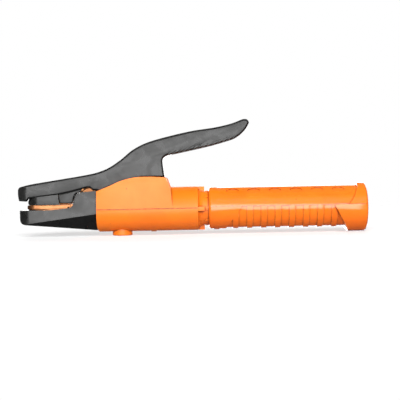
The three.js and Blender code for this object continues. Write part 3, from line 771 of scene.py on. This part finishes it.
class HolderColours(bpy.types.PropertyGroup):
    """Colours of the holder's finishes."""

    housing: colour_setting("Housing", "Orange of the housing and its plug", (0.93, 0.205, 0.009))
    handle: colour_setting("Handle", "Orange of the handle", (0.93, 0.19, 0.01))
    black: colour_setting("Black resin", "Black of the lever and the insulators", (0.005, 0.005, 0.0052))
    dust: colour_setting("Dust", "Grey that dust leaves on the black resin", (0.02, 0.02, 0.019))
    copper: colour_setting("Copper", "Bright metal of the jaws", (0.64, 0.28, 0.12))
    floor: colour_setting("Floor", "Pale sheet under the tool", (0.55, 0.55, 0.55))


class HolderSizes(bpy.types.PropertyGroup):
    """Sizes of the fine forms."""

    lever_round: length_setting("Lever rounding", "Radius along the lever's long edges", 1.6)
    housing_round: length_setting("Housing rounding", "Radius along the housing's edges", 0.7)
    insulator_round: length_setting("Insulator rounding", "Radius along the insulators' edges", 1.1)
    groove_depth: length_setting("Groove depth", "Depth of the finger grooves in the handle", 0.75)
    dimple_depth: length_setting("Dimple depth", "Depth of the oval dimples in the handle", 0.7)
    spring_wire: length_setting("Spring wire", "Thickness of the return spring's wire", 1.8)


# ---------------------------------------------------------------- pieces

def hump_outline():
    outline = [(-81, 0), (-81, 13), (-77.3, 14.2)]
    outline += smooth([(-77.3, 14.2), (-66.8, 18.4), (-59.2, 21.7), (-49.6, 24.1), (-39.2, 24.6),
                       (-28.8, 24.1), (-26.2, 23.7)])
    outline += corner((-26.2, 23.7), (-24.9, 23.4), (-24.3, 21.8))
    outline += [(-21.8, 15), (-20.4, 0)]
    return outline


def front_face_outline():
    outline = [(30, -22), (-76, -22)]
    outline += corner((-76.2, -16.7), (-77.6, -14.6), (-77.5, -8), 10)
    return outline + [(-77.1, 14.6), (-77.1, 32), (30, 32)]


def flare_profile():
    """The housing's barrel and its hollow flare down to the spigot inside the handle."""
    profile = [(-81, 0), (-81, HOUSING_R), (-1.6, HOUSING_R)]
    for step in range(1, 13):
        turn = math.pi / 2 * step / 12
        profile.append((-1.6 + 4.5 * (1 - math.cos(turn)), HOUSING_R - (HOUSING_R - 12.6) * math.sin(turn)))
    return profile + [(20, 12.6), (20, 0)]


class HOLDER_OT_housing(bpy.types.Operator):
    """Make the orange housing: barrel, hump with two cheeks, flare with webs, and neck lugs"""

    bl_idname = "holder.housing"
    bl_label = "Housing"

    def execute(self, context):
        sizes = context.scene.holder_sizes
        shell = turned("housing_shell", flare_profile())
        weld(shell, plate("hump", hump_outline(), HOUSING_R + 0.04))
        keep_inside(shell, plate("front_face", front_face_outline(), 24))
        flatten_faces(shell)
        soften(shell, sizes.housing_round / MM, 3, 38)
        cut(
            shell,
            block("slot", (-84, -12.2, 0), (-22, 12.2, 32)),
            rod("keel_room", -84, -22, 12.9),
            rod("barrel_room", -23, 22, 10.8),
        )
        for quarter in range(4):
            web = block("web", (-1.5, -1.5, 11.4), (3.3, 1.5, HOUSING_R - 0.15))
            turn_about_axis(web, quarter * 90)
            weld(shell, web)
        for number in range(8):
            lug = block("lug", (3.7, -1.1, 11.4), (6.3, 1.1, 13.05))
            turn_about_axis(lug, number * 45)
            weld(shell, lug)
        weld(shell, block("nub", (-37.3, -1.2, -17), (-33.3, 1.2, -15.5)))
        hole = [(-20, 0), (-20, 6), (-14.6, 6), (-14.6, 3.2), (-10, 3.2), (-10, 0)]
        cut(shell, turned_upright("plug_bore", hole, BOSS_X))
        flatten_faces(shell)
        soften(shell, 0.2, 2, 40)
        seam = block("seam", (-90, -20, 0.35), (-1.9, 20, 0.95))
        cut(seam, rod("seam_core", -95, 0, HOUSING_R - 0.7))
        cut(shell, seam)
        finish_piece(shell, "root", ["housing"], finish_named("housing_nylon"))
        return {"FINISHED"}


class HOLDER_OT_plug(bpy.types.Operator):
    """Make the round plug under the housing"""

    bl_idname = "holder.plug"
    bl_label = "Boss plug"

    def execute(self, context):
        radius = (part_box("boss_plug")[1].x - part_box("boss_plug")[0].x) / 2 / MM
        profile = [(-REST_DEPTH, 0), (-REST_DEPTH, radius - 0.7)]
        profile += arc((-REST_DEPTH + 0.7, radius - 0.7), (0.7, 0.7), 180, 90, 6)[1:]
        profile += [(-12, radius), (-12, 0)]
        plug = turned_upright("boss_cap", profile, BOSS_X, 64)
        cut(plug, rod("barrel_side", -75, -45, HOUSING_R + 0.05, 160))
        weld(plug, post("rim", BOSS_X, -17.6, -14.9, 5.7, 48))
        cut(plug, post("screw_room", BOSS_X, -17.4, -10, 4.9))
        finish_piece(plug, "root", ["boss_plug"], finish_named("housing_nylon"))
        return {"FINISHED"}


def lever_outline():
    outline = [(-136.3, 8), (-137.9, 13)]
    outline += corner((-137.9, 13), (-138.2, 18), (-133.6, 18.9))
    outline += smooth([(-133.6, 18.9), (-125.8, 20.6), (-110.5, 22.9), (-90, 25.9), (-77, 28.4),
                       (-67.6, 32), (-58.6, 37.9), (-50, 44.7), (-40.1, 49.7), (-27.9, 53.3), (-6.5, 58),
                       (11.8, 60.5), (24, 63.1), (32.6, 66.2)], 7)
    outline += corner((32.6, 66.2), (37.4, 67.4), (37.8, 63.4))
    outline += smooth([(37.8, 63.4), (34.2, 57.8), (27.6, 52.6), (14, 48.4), (0.9, 45.3), (-22.6, 40.6)])
    outline += corner((-22.6, 40.6), (-27.4, 39.6), (-27.6, 36))
    outline += [(-26.9, 29), (-26.1, 24), (-44, 24), (-50.12, 16.39)]
    outline += arc((PIVOT.x, PIVOT.z), (8, 8), 10, -110)
    outline += [(-70, 11.8), (-77.2, 14.95), (-80.4, 15.1), (-82.6, 17.1), (-84.6, 17.05), (-88, 16.3)]
    outline += [(-96.5, 14.1), (-107, 12), (-128.3, 9.75), (-130.4, 7.6)]
    return outline


def nose_plan(front, rear, half_width, depth=9.0):
    """Plan outline with a rounded nose."""
    tip = arc((front + depth, 0), (depth, half_width), 90, 270, 32)
    return [(rear, -half_width), (rear, half_width)] + tip


TAIL_EDGE = [(-22.6, 40.6), (0.9, 45.3), (14, 48.4), (27.6, 52.6)]


def tail_low_edge(x):
    """Height of the tail's lower edge."""
    for (x0, z0), (x1, z1) in zip(TAIL_EDGE, TAIL_EDGE[1:]):
        if x <= x1:
            return z0 + (z1 - z0) * (x - x0) / (x1 - x0)
    return TAIL_EDGE[-1][1]


def grip_strip(side):
    """A shallow strip along the tail's lower edge, crossed by slanting teeth that stay standing."""
    low = [(x, tail_low_edge(x) - 3) for x in range(-23, 28, 5)]
    high = [(x, tail_low_edge(x) + 2.3) for x in range(27, -24, -5)]
    strip = plate("strip", low + high, 1, side * (LEVER_HALF + 0.6))
    teeth = []
    for number in range(14):
        x = -24.5 + 3.7 * number
        z = tail_low_edge(x) - 1.2
        outline = [(x, z), (x + 1.7, z + 0.3), (x + 6.9, z + 5), (x + 5.2, z + 4.7)]
        teeth.append(plate("tooth", outline, 1.2, side * (LEVER_HALF + 0.6)))
    return cut(strip, together(teeth))


class HOLDER_OT_lever(bpy.types.Operator):
    """Make the black gooseneck lever with its channel, its ribbed tail and its toothed thumb strips"""

    bl_idname = "holder.lever"
    bl_label = "Lever"

    def execute(self, context):
        sizes = context.scene.holder_sizes
        lever = plate("lever_arm_body", lever_outline(), LEVER_HALF)
        round_rims(lever, sizes.lever_round / MM)
        keep_inside(lever, slab("plan", nose_plan(-138, 70, LEVER_HALF + 0.001), 0, 90))
        flatten_faces(lever)
        soften(lever, 0.6, 3, 35)
        channel = [(-130.6, -5), (-130.6, 13.1), (-88, 19.3), (-80, 21.2), (-70, 25.8), (-61, 32.5),
                   (-54, 36), (-47, 36), (-47, -5)]
        hollow_outline = [(-21, 34), (-21, 50.6), (-6.5, 53.9), (11.8, 56.4), (24, 59), (29, 60.6), (29, 40)]
        hollow = plate("tail_hollow", hollow_outline, 8)
        ribs = []
        for number in range(5):
            x = -15.5 + 10 * number
            ribs.append(block("rib", (x - 0.9, -10, tail_low_edge(x) + 2.4), (x + 0.9, 10, 75)))
        cut(hollow, together(ribs))
        bore = across("bush_bore", PIVOT.x, PIVOT.z, 4.9, 20)
        cut(lever, plate("front_channel", channel, 8), hollow, bore)
        for x in (-120, -102):
            top = 22.9 + 0.147 * (x + 110.5)
            cut(lever, post("screw_way", x, 3, 40, 2.2), post("head_room", x, top - 3.2, 40, 3.5))
        cut(lever, grip_strip(-1), grip_strip(1))
        flatten_faces(lever)
        soften(lever, 0.2, 2, 40)
        finish_piece(lever, "lever_arm", ["lever"], finish_named("lever_resin"))
        return {"FINISHED"}


def lower_insulator_outline():
    outline = corner((-136.9, -0.1), (-136.8, 0.8), (-135.6, 0.8), 5)
    outline += [(-111.9, 0.9), (-98.6, 2.2)]
    outline += swing((-98.6, 2.2), (-95.4, 2.8), (-95.2, 5), (-94.6, 7.4))
    outline += swing((-94.6, 7.4), (-93.8, 11.6), (-92.4, 13.3), (-88.4, 13.9))
    outline += [(-77.8, 14.7), (-77.8, -15.1), (-131.4, -10.1)]
    outline += corner((-131.4, -10.1), (-136, -9.6), (-136.6, -5.6))
    return outline


class HOLDER_OT_lower_insulator(bpy.types.Operator):
    """Make the black insulator under the lower jaw: tray, throat block and slanted underside"""

    bl_idname = "holder.lower_insulator"
    bl_label = "Lower insulator"

    def execute(self, context):
        sizes = context.scene.holder_sizes
        half = INSULATOR_HALF
        tray = plate("lower_insulator_body", lower_insulator_outline(), half)
        keep_inside(tray, slab("plan", nose_plan(-136.9, -70, half + 0.001), -32, 32))
        for side in (-1, 1):
            edge = [spot(-136, -10, side * half), spot(-79, -2.8, side * half)]
            shave(tray, edge, side)
        flatten_faces(tray)
        soften(tray, sizes.insulator_round / MM, 3, 30)
        neck_room = [(-99.6, 32), (-99.6, -3.7), (-96, -3.7), (-70, -11.9), (-70, 32)]
        cut(tray, plate("neck_room", neck_room, 7.76))
        for x in (-122, -104):
            cut(tray, post("screw_way", x, -22, 6, 2.2), post("head_room", x, -22, -8.2, 3.5))
        flatten_faces(tray)
        soften(tray, 0.25, 2, 40)
        resin = finish_named("insulator_resin")
        finish_piece(tray, "root", ["lower_insulator"], resin, 18)
        return {"FINISHED"}


class HOLDER_OT_upper_shoes(bpy.types.Operator):
    """Make the two black shoes round the upper jaw"""

    bl_idname = "holder.upper_shoes"
    bl_label = "Upper shoes"

    def execute(self, context):
        resin = finish_named("insulator_resin")
        front = corner((-130.1, 7.2), (-130, 4.95), (-128.6, 4.95), 6)
        front += [(-119, 4.95), (-105.6, 5.0), (-106.5, 12.4), (-128, 10.2)]
        shoe = plate("shoe_front", front, SHOE_HALF)
        keep_inside(shoe, slab("plan", nose_plan(-130.4, -100, SHOE_HALF + 0.001), 0, 30))
        flatten_faces(shoe)
        soften(shoe, 0.95, 4, 35)
        cut(shoe, block("jaw_room", (-125.5, -8, 0), (-90, 8, 30)))
        soften(shoe, 0.12, 2, 60)
        finish_piece(shoe, "lever_arm", ["upper_shoe_front"], resin)
        rear = [(-106.4, 12.4), (-105.5, 7.4)]
        rear += corner((-105.5, 7.4), (-105.2, 5.6), (-103.8, 5.6), 5)
        rear += corner((-97, 5.6), (-95.6, 5.6), (-95.1, 8.6), 4)
        rear += swing((-95.1, 8.6), (-94.6, 11.2), (-93.4, 13), (-91.6, 13.6), 8)
        rear += [(-88.8, 14.35), (-88.8, 16.2), (-96.5, 14.4)]
        heel = plate("shoe_rear", rear, SHOE_HALF)
        flatten_faces(heel)
        soften(heel, 0.8, 4, 35)
        cut(heel, block("jaw_room", (-110, -8, 0), (-95.7, 8, 30)))
        soften(heel, 0.12, 2, 60)
        finish_piece(heel, "lever_arm", ["upper_shoe_rear"], resin)
        return {"FINISHED"}


class HOLDER_OT_jaws(bpy.types.Operator):
    """Make the bright jaws: the jaw body with its neck, lug and cable barrel, and the upper jaw"""

    bl_idname = "holder.jaws"
    bl_label = "Jaws"

    def execute(self, context):
        body = finer_copy("jaw_body", "jaw_casting", 0.35, 2)
        crown = [(-90.4, 10), (-90, 14.4), (-88.6, 16.1), (-86.8, 16.9), (-84, 17.3), (-79.5, 17.5),
                 (-79, 10)]
        foot = [(-130.2, 0.85), (-111.9, 0.93), (-99.8, 2.1), (-99.8, 4), (-130.2, 3)]
        weld(body, plate("neck_crown", crown, 7.3))
        weld(body, keep_inside(plate("foot", foot, 9), slab("plan", nose_plan(-130.1, -90, 8.8), -1, 6)))
        finish_piece(body, "root", ["jaw_body"], finish_named("jaw_copper"))
        clear_of_underside_shade = finer_copy("upper_jaw", "upper_jaw_bar", 0.25, 2)
        finish_piece(clear_of_underside_shade, "lever_arm", ["upper_jaw"], finish_named("jaw_copper"))
        return {"FINISHED"}


class HOLDER_OT_handle(bpy.types.Operator):
    """Make the orange handle: finger ribs, top panel with dimples, parting line and rear flange"""

    bl_idname = "holder.handle"
    bl_label = "Handle"

    def execute(self, context):
        sizes = context.scene.holder_sizes
        end = CABLE_END
        radius = GRIP_R
        tube = turned("handle_tube", [
            (6.5, 12.9), (6.5, radius - 1.8), (6.7, radius - 1.1), (7.2, radius - 0.45), (8, radius - 0.1),
            (8.8, radius), (end - 3, radius), (end - 3, 11.2), (62, 11.2), (60, 12.9), (6.5, 12.9),
        ])
        flange = turned("flange", [
            (96, 10), (96, 18.3), (end - 2, 18.3), (end - 1.3, 18.15), (end - 0.6, 17.6), (end - 0.1, 16.7),
            (end, 16.1), (end, 14.7), (end - 4, 10), (96, 10),
        ], drop=1.1)
        edge = [(132, -25), (112.6, -25), (111.6, -19.4), (100.4, 0.8), (100.4, MID_LINE), (111, MID_LINE)]
        edge += corner((111, MID_LINE), (117, 8), (118.6, 17.2))
        edge += [(119.6, 25), (132, 25)]
        keep_inside(flange, plate("flange_edge", edge, 25))
        weld(tube, flange)
        cut(tube, rod("cable_way", 90, end + 1, 11.2))
        ovals = []
        for number in range(6):
            for side in (-1, 1):
                ovals.append(dimple(24.5 + 15.9 * number, side))
        floor = ring("oval_floor", 10, 119, radius - 0.4 - sizes.dimple_depth / MM, 22)
        cut(tube, keep_inside(together(ovals), floor))
        panel = [(11.6, 20), (13, 14.5)] + corner((13, 14.5), (16.8, 9), (25, 8.5))
        panel += corner((108, 8.3), (114.6, 8.8), (117.2, 16)) + [(117.4, 20)]
        cut(tube, keep_inside(ring("panel", 10, 119, radius - 0.4, 20), plate("panel_edge", panel, 20)))
        depth = radius - sizes.groove_depth / MM
        grooves = []
        for number in range(-2, 7):
            x0 = 39.2 + 10.55 * number
            x1 = 115 if number == 6 else x0 + 6.35
            grooves.append(ring("groove", x0, x1, depth, 20))
        zone = [(16, -20), (30.4, 0), (31, MID_LINE), (101, MID_LINE), (101, 0), (111.4, -20)]
        cut(tube, keep_inside(together(grooves), plate("zone", zone, 20)))
        hole = [(-20, 0), (-20, 2.4), (-14.3, 2.4), (-14.3, 1.7), (-10, 1.7), (-10, 0)]
        cut(tube, turned_upright("screw_hole", hole, LOCK_SCREW_X))
        flatten_faces(tube)
        soften(tube, 0.28, 3, 28)
        seam = block("seam", (0, -20, MID_LINE), (end - 1.6, 20, MID_LINE + 0.34))
        cut(seam, rod("seam_core", -2, end + 5, radius - 0.3))
        cut(tube, seam)
        finish_piece(tube, "handle_body", ["handle"], finish_named("handle_nylon"), 20)
        return {"FINISHED"}


def dimple(x, side):
    """An oval cutter that stands in the panel beside its crest."""
    bpy.ops.object.select_all(action="DESELECT")
    bpy.ops.mesh.primitive_cylinder_add(vertices=40, radius=1 * MM, depth=8 * MM, location=spot(x, 17))
    oval = bpy.context.object
    oval.scale = (4.8, 3.1, 1)
    settle(oval, "oval")
    turn_about_axis(oval, side * 33)
    return oval


class HOLDER_OT_lock_screw(bpy.types.Operator):
    """Make the small slotted lock screw under the handle's collar"""

    bl_idname = "holder.lock_screw"
    bl_label = "Lock screw"

    def execute(self, context):
        profile = [(-16.3, 0), (-16.3, 1.7), (-16.2, 1.95), (-16.0, 2.1), (-14.6, 2.1), (-14.6, 1.4),
                   (-12.95, 1.4), (-12.95, 0)]
        screw = turned_upright("lock_screw", profile, LOCK_SCREW_X)
        cut(screw, block("slot", (9, -0.35, -17), (16, 0.35, -15.8)))
        nylon = finish_named("handle_nylon")
        finish_piece(screw, "handle_body", ["handle_lock_screw"], nylon)
        return {"FINISHED"}


class HOLDER_OT_spring(bpy.types.Operator):
    """Wind the return spring, with its end turns closed and flat"""

    bl_idname = "holder.spring"
    bl_label = "Return spring"

    def execute(self, context):
        wire = context.scene.holder_sizes.spring_wire / 2
        low, high = SPRING_LOW.z + wire, SPRING_HIGH.z - wire
        middle = (SPRING_LOW + SPRING_HIGH) / 2
        coil = (SPRING_HIGH.y - SPRING_LOW.y) / 2 - wire
        turns, steps = 6.0, 36
        points = []
        for step in range(int(turns * steps) + 1):
            share = step / (turns * steps)
            rise = min(max((share - 0.1) / 0.8, 0), 1)
            angle = math.tau * turns * share
            points.append(Vector((middle.x + coil * math.cos(angle), middle.y + coil * math.sin(angle),
                                  low + (high - low) * (0.06 * share + 0.94 * rise))))
        bpy.ops.object.select_all(action="DESELECT")
        bpy.ops.curve.primitive_nurbs_path_add()
        spring = bpy.context.object
        curve = spring.data
        curve.splines.clear()
        spline = curve.splines.new("POLY")
        spline.points.add(len(points) - 1)
        for place, point in zip(spline.points, points):
            place.co = (*point, 1)
        curve.bevel_depth = wire
        curve.bevel_resolution = 3
        curve.use_fill_caps = True
        spring.location = (0, 0, 0)
        pick(spring)
        bpy.ops.object.convert(target="MESH")
        settle(spring, "spring_coil")
        tidy_mesh(spring)
        finish_piece(spring, None, ["return_spring"], finish_named("zinc_steel"))
        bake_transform(spring)
        return {"FINISHED"}


class HOLDER_OT_hardware(bpy.types.Operator):
    """Make the screws, the pivot's pin, clips and bushes, the spring's seat and cap, and the cable clamp"""

    bl_idname = "holder.hardware"
    bl_label = "Hardware"

    def execute(self, context):
        behaviour = frame["record"]["behaviour"]["bodies"]
        body_of = {node: body for body, nodes in behaviour.items() for node in nodes}
        slots = {row["node"]: row["material_slot"] for row in frame["record"]["subparts"]}
        paints = {"steel": "zinc_steel", "brass": "jaw_copper", "fibre": "brown_fibre"}
        done = ("jaw_body", "upper_jaw", "return_spring")
        for node, slot_name in slots.items():
            if slot_name in paints and node not in done:
                piece = finer_copy(node, node + "_fine", 0.15)
                finish_piece(piece, body_of[node], [node], finish_named(paints[slot_name]))
        return {"FINISHED"}


class HOLDER_OT_stage(bpy.types.Operator):
    """Make the pale floor, the soft lights, the surroundings and the camera"""

    bl_idname = "holder.stage"
    bl_label = "Stage"

    def execute(self, context):
        bpy.ops.object.select_all(action="DESELECT")
        bpy.ops.mesh.primitive_plane_add(size=1.6, location=(0, 0, -0.0002))
        floor = bpy.context.object
        floor.name = "floor"
        floor.data.materials.append(finish_named("pale_floor"))
        floor.visible_glossy = False
        floor.visible_shadow = False
        for side in (-1, 1):
            softbox = add_light("softbox", (0.03 * side, 1.05 * side, 0.08), (0.95, 0.6), 7.5)
            softbox.visible_diffuse = False
            panel = add_light("panel", (0, 1.5 * side, 0.95), (1.8, 1.4), 42 - 20 * side)
            panel.visible_glossy = False
        surroundings()
        camera()
        context.scene.view_settings.view_transform = "Standard"
        return {"FINISHED"}


def add_light(name, place, size, power):
    """A soft rectangular light that looks at the tool."""
    bpy.ops.object.select_all(action="DESELECT")
    bpy.ops.object.light_add(type="AREA", location=place)
    light = bpy.context.object
    light.name = name
    light.visible_camera = False
    light.data.shape = "RECTANGLE"
    light.data.size, light.data.size_y = size
    light.data.energy = power
    aim = Vector((0, 0, 0.03)) - Vector(place)
    light.rotation_euler = aim.to_track_quat("-Z", "Y").to_euler()
    return light


def surroundings():
    """A white world: full white where the camera looks past the floor, softer as light."""
    world = bpy.data.worlds.new("studio")
    bpy.context.scene.world = world
    world.use_nodes = True
    tree = world.node_tree
    tree.nodes.clear()
    soft = put(tree, "ShaderNodeBackground")
    soft.inputs["Color"].default_value = (1, 1, 1, 1)
    soft.inputs["Strength"].default_value = 0.1
    seen = put(tree, "ShaderNodeBackground")
    seen.inputs["Color"].default_value = (1, 1, 1, 1)
    seen.inputs["Strength"].default_value = 1.0
    path = put(tree, "ShaderNodeLightPath")
    mix = put(tree, "ShaderNodeMixShader")
    out = put(tree, "ShaderNodeOutputWorld")
    tree.links.new(path.outputs["Is Camera Ray"], mix.inputs["Fac"])
    tree.links.new(soft.outputs["Background"], mix.inputs[1])
    tree.links.new(seen.outputs["Background"], mix.inputs[2])
    tree.links.new(mix.outputs["Shader"], out.inputs["Surface"])


def camera():
    """The camera stands square to the tool's side, a little high, and is rolled a touch."""
    distance, rise, roll = 0.76, 1.6, 1.1
    target = Vector((JOINT_X, 0, AXIS_Z + 0.0061))
    back = Vector((0, -math.cos(math.radians(rise)), math.sin(math.radians(rise))))
    bpy.ops.object.select_all(action="DESELECT")
    bpy.ops.object.camera_add(location=target + back * distance)
    view = bpy.context.object
    view.name = "view"
    view.data.lens = 36 * distance / 0.304
    view.data.clip_start = 0.01
    view.rotation_mode = "QUATERNION"
    level = (-back).to_track_quat("-Z", "Y")
    view.rotation_quaternion = level @ Quaternion((0, 0, 1), math.radians(-roll))
    bpy.context.scene.camera = view


class HOLDER_PT_pieces(bpy.types.Panel):
    """Lists the holder's pieces in the order in which they are made"""

    bl_idname = "HOLDER_PT_pieces"
    bl_label = "Electrode holder"
    bl_space_type = "VIEW_3D"
    bl_region_type = "UI"
    bl_category = "Electrode holder"

    def draw(self, context):
        for operator in OPERATORS:
            self.layout.operator(operator.bl_idname)
        for group in (context.scene.holder_sizes, context.scene.holder_colours):
            for key in group.__annotations__:
                self.layout.prop(group, key)


OPERATORS = (
    HOLDER_OT_stage, HOLDER_OT_housing, HOLDER_OT_plug, HOLDER_OT_lower_insulator, HOLDER_OT_jaws,
    HOLDER_OT_upper_shoes, HOLDER_OT_lever, HOLDER_OT_spring, HOLDER_OT_hardware, HOLDER_OT_handle,
    HOLDER_OT_lock_screw,
)
CLASSES = (HolderColours, HolderSizes, *OPERATORS, HOLDER_PT_pieces)


def register():
    for entry in CLASSES:
        bpy.utils.register_class(entry)
    bpy.types.Scene.holder_colours = bpy.props.PointerProperty(type=HolderColours)
    bpy.types.Scene.holder_sizes = bpy.props.PointerProperty(type=HolderSizes)


def unregister():
    del bpy.types.Scene.holder_sizes
    del bpy.types.Scene.holder_colours
    for entry in reversed(CLASSES):
        bpy.utils.unregister_class(entry)


def main():
    register()
    for operator in OPERATORS:
        getattr(bpy.ops.holder, operator.bl_idname.split(".")[1])()


if __name__ == "__main__":
    main()
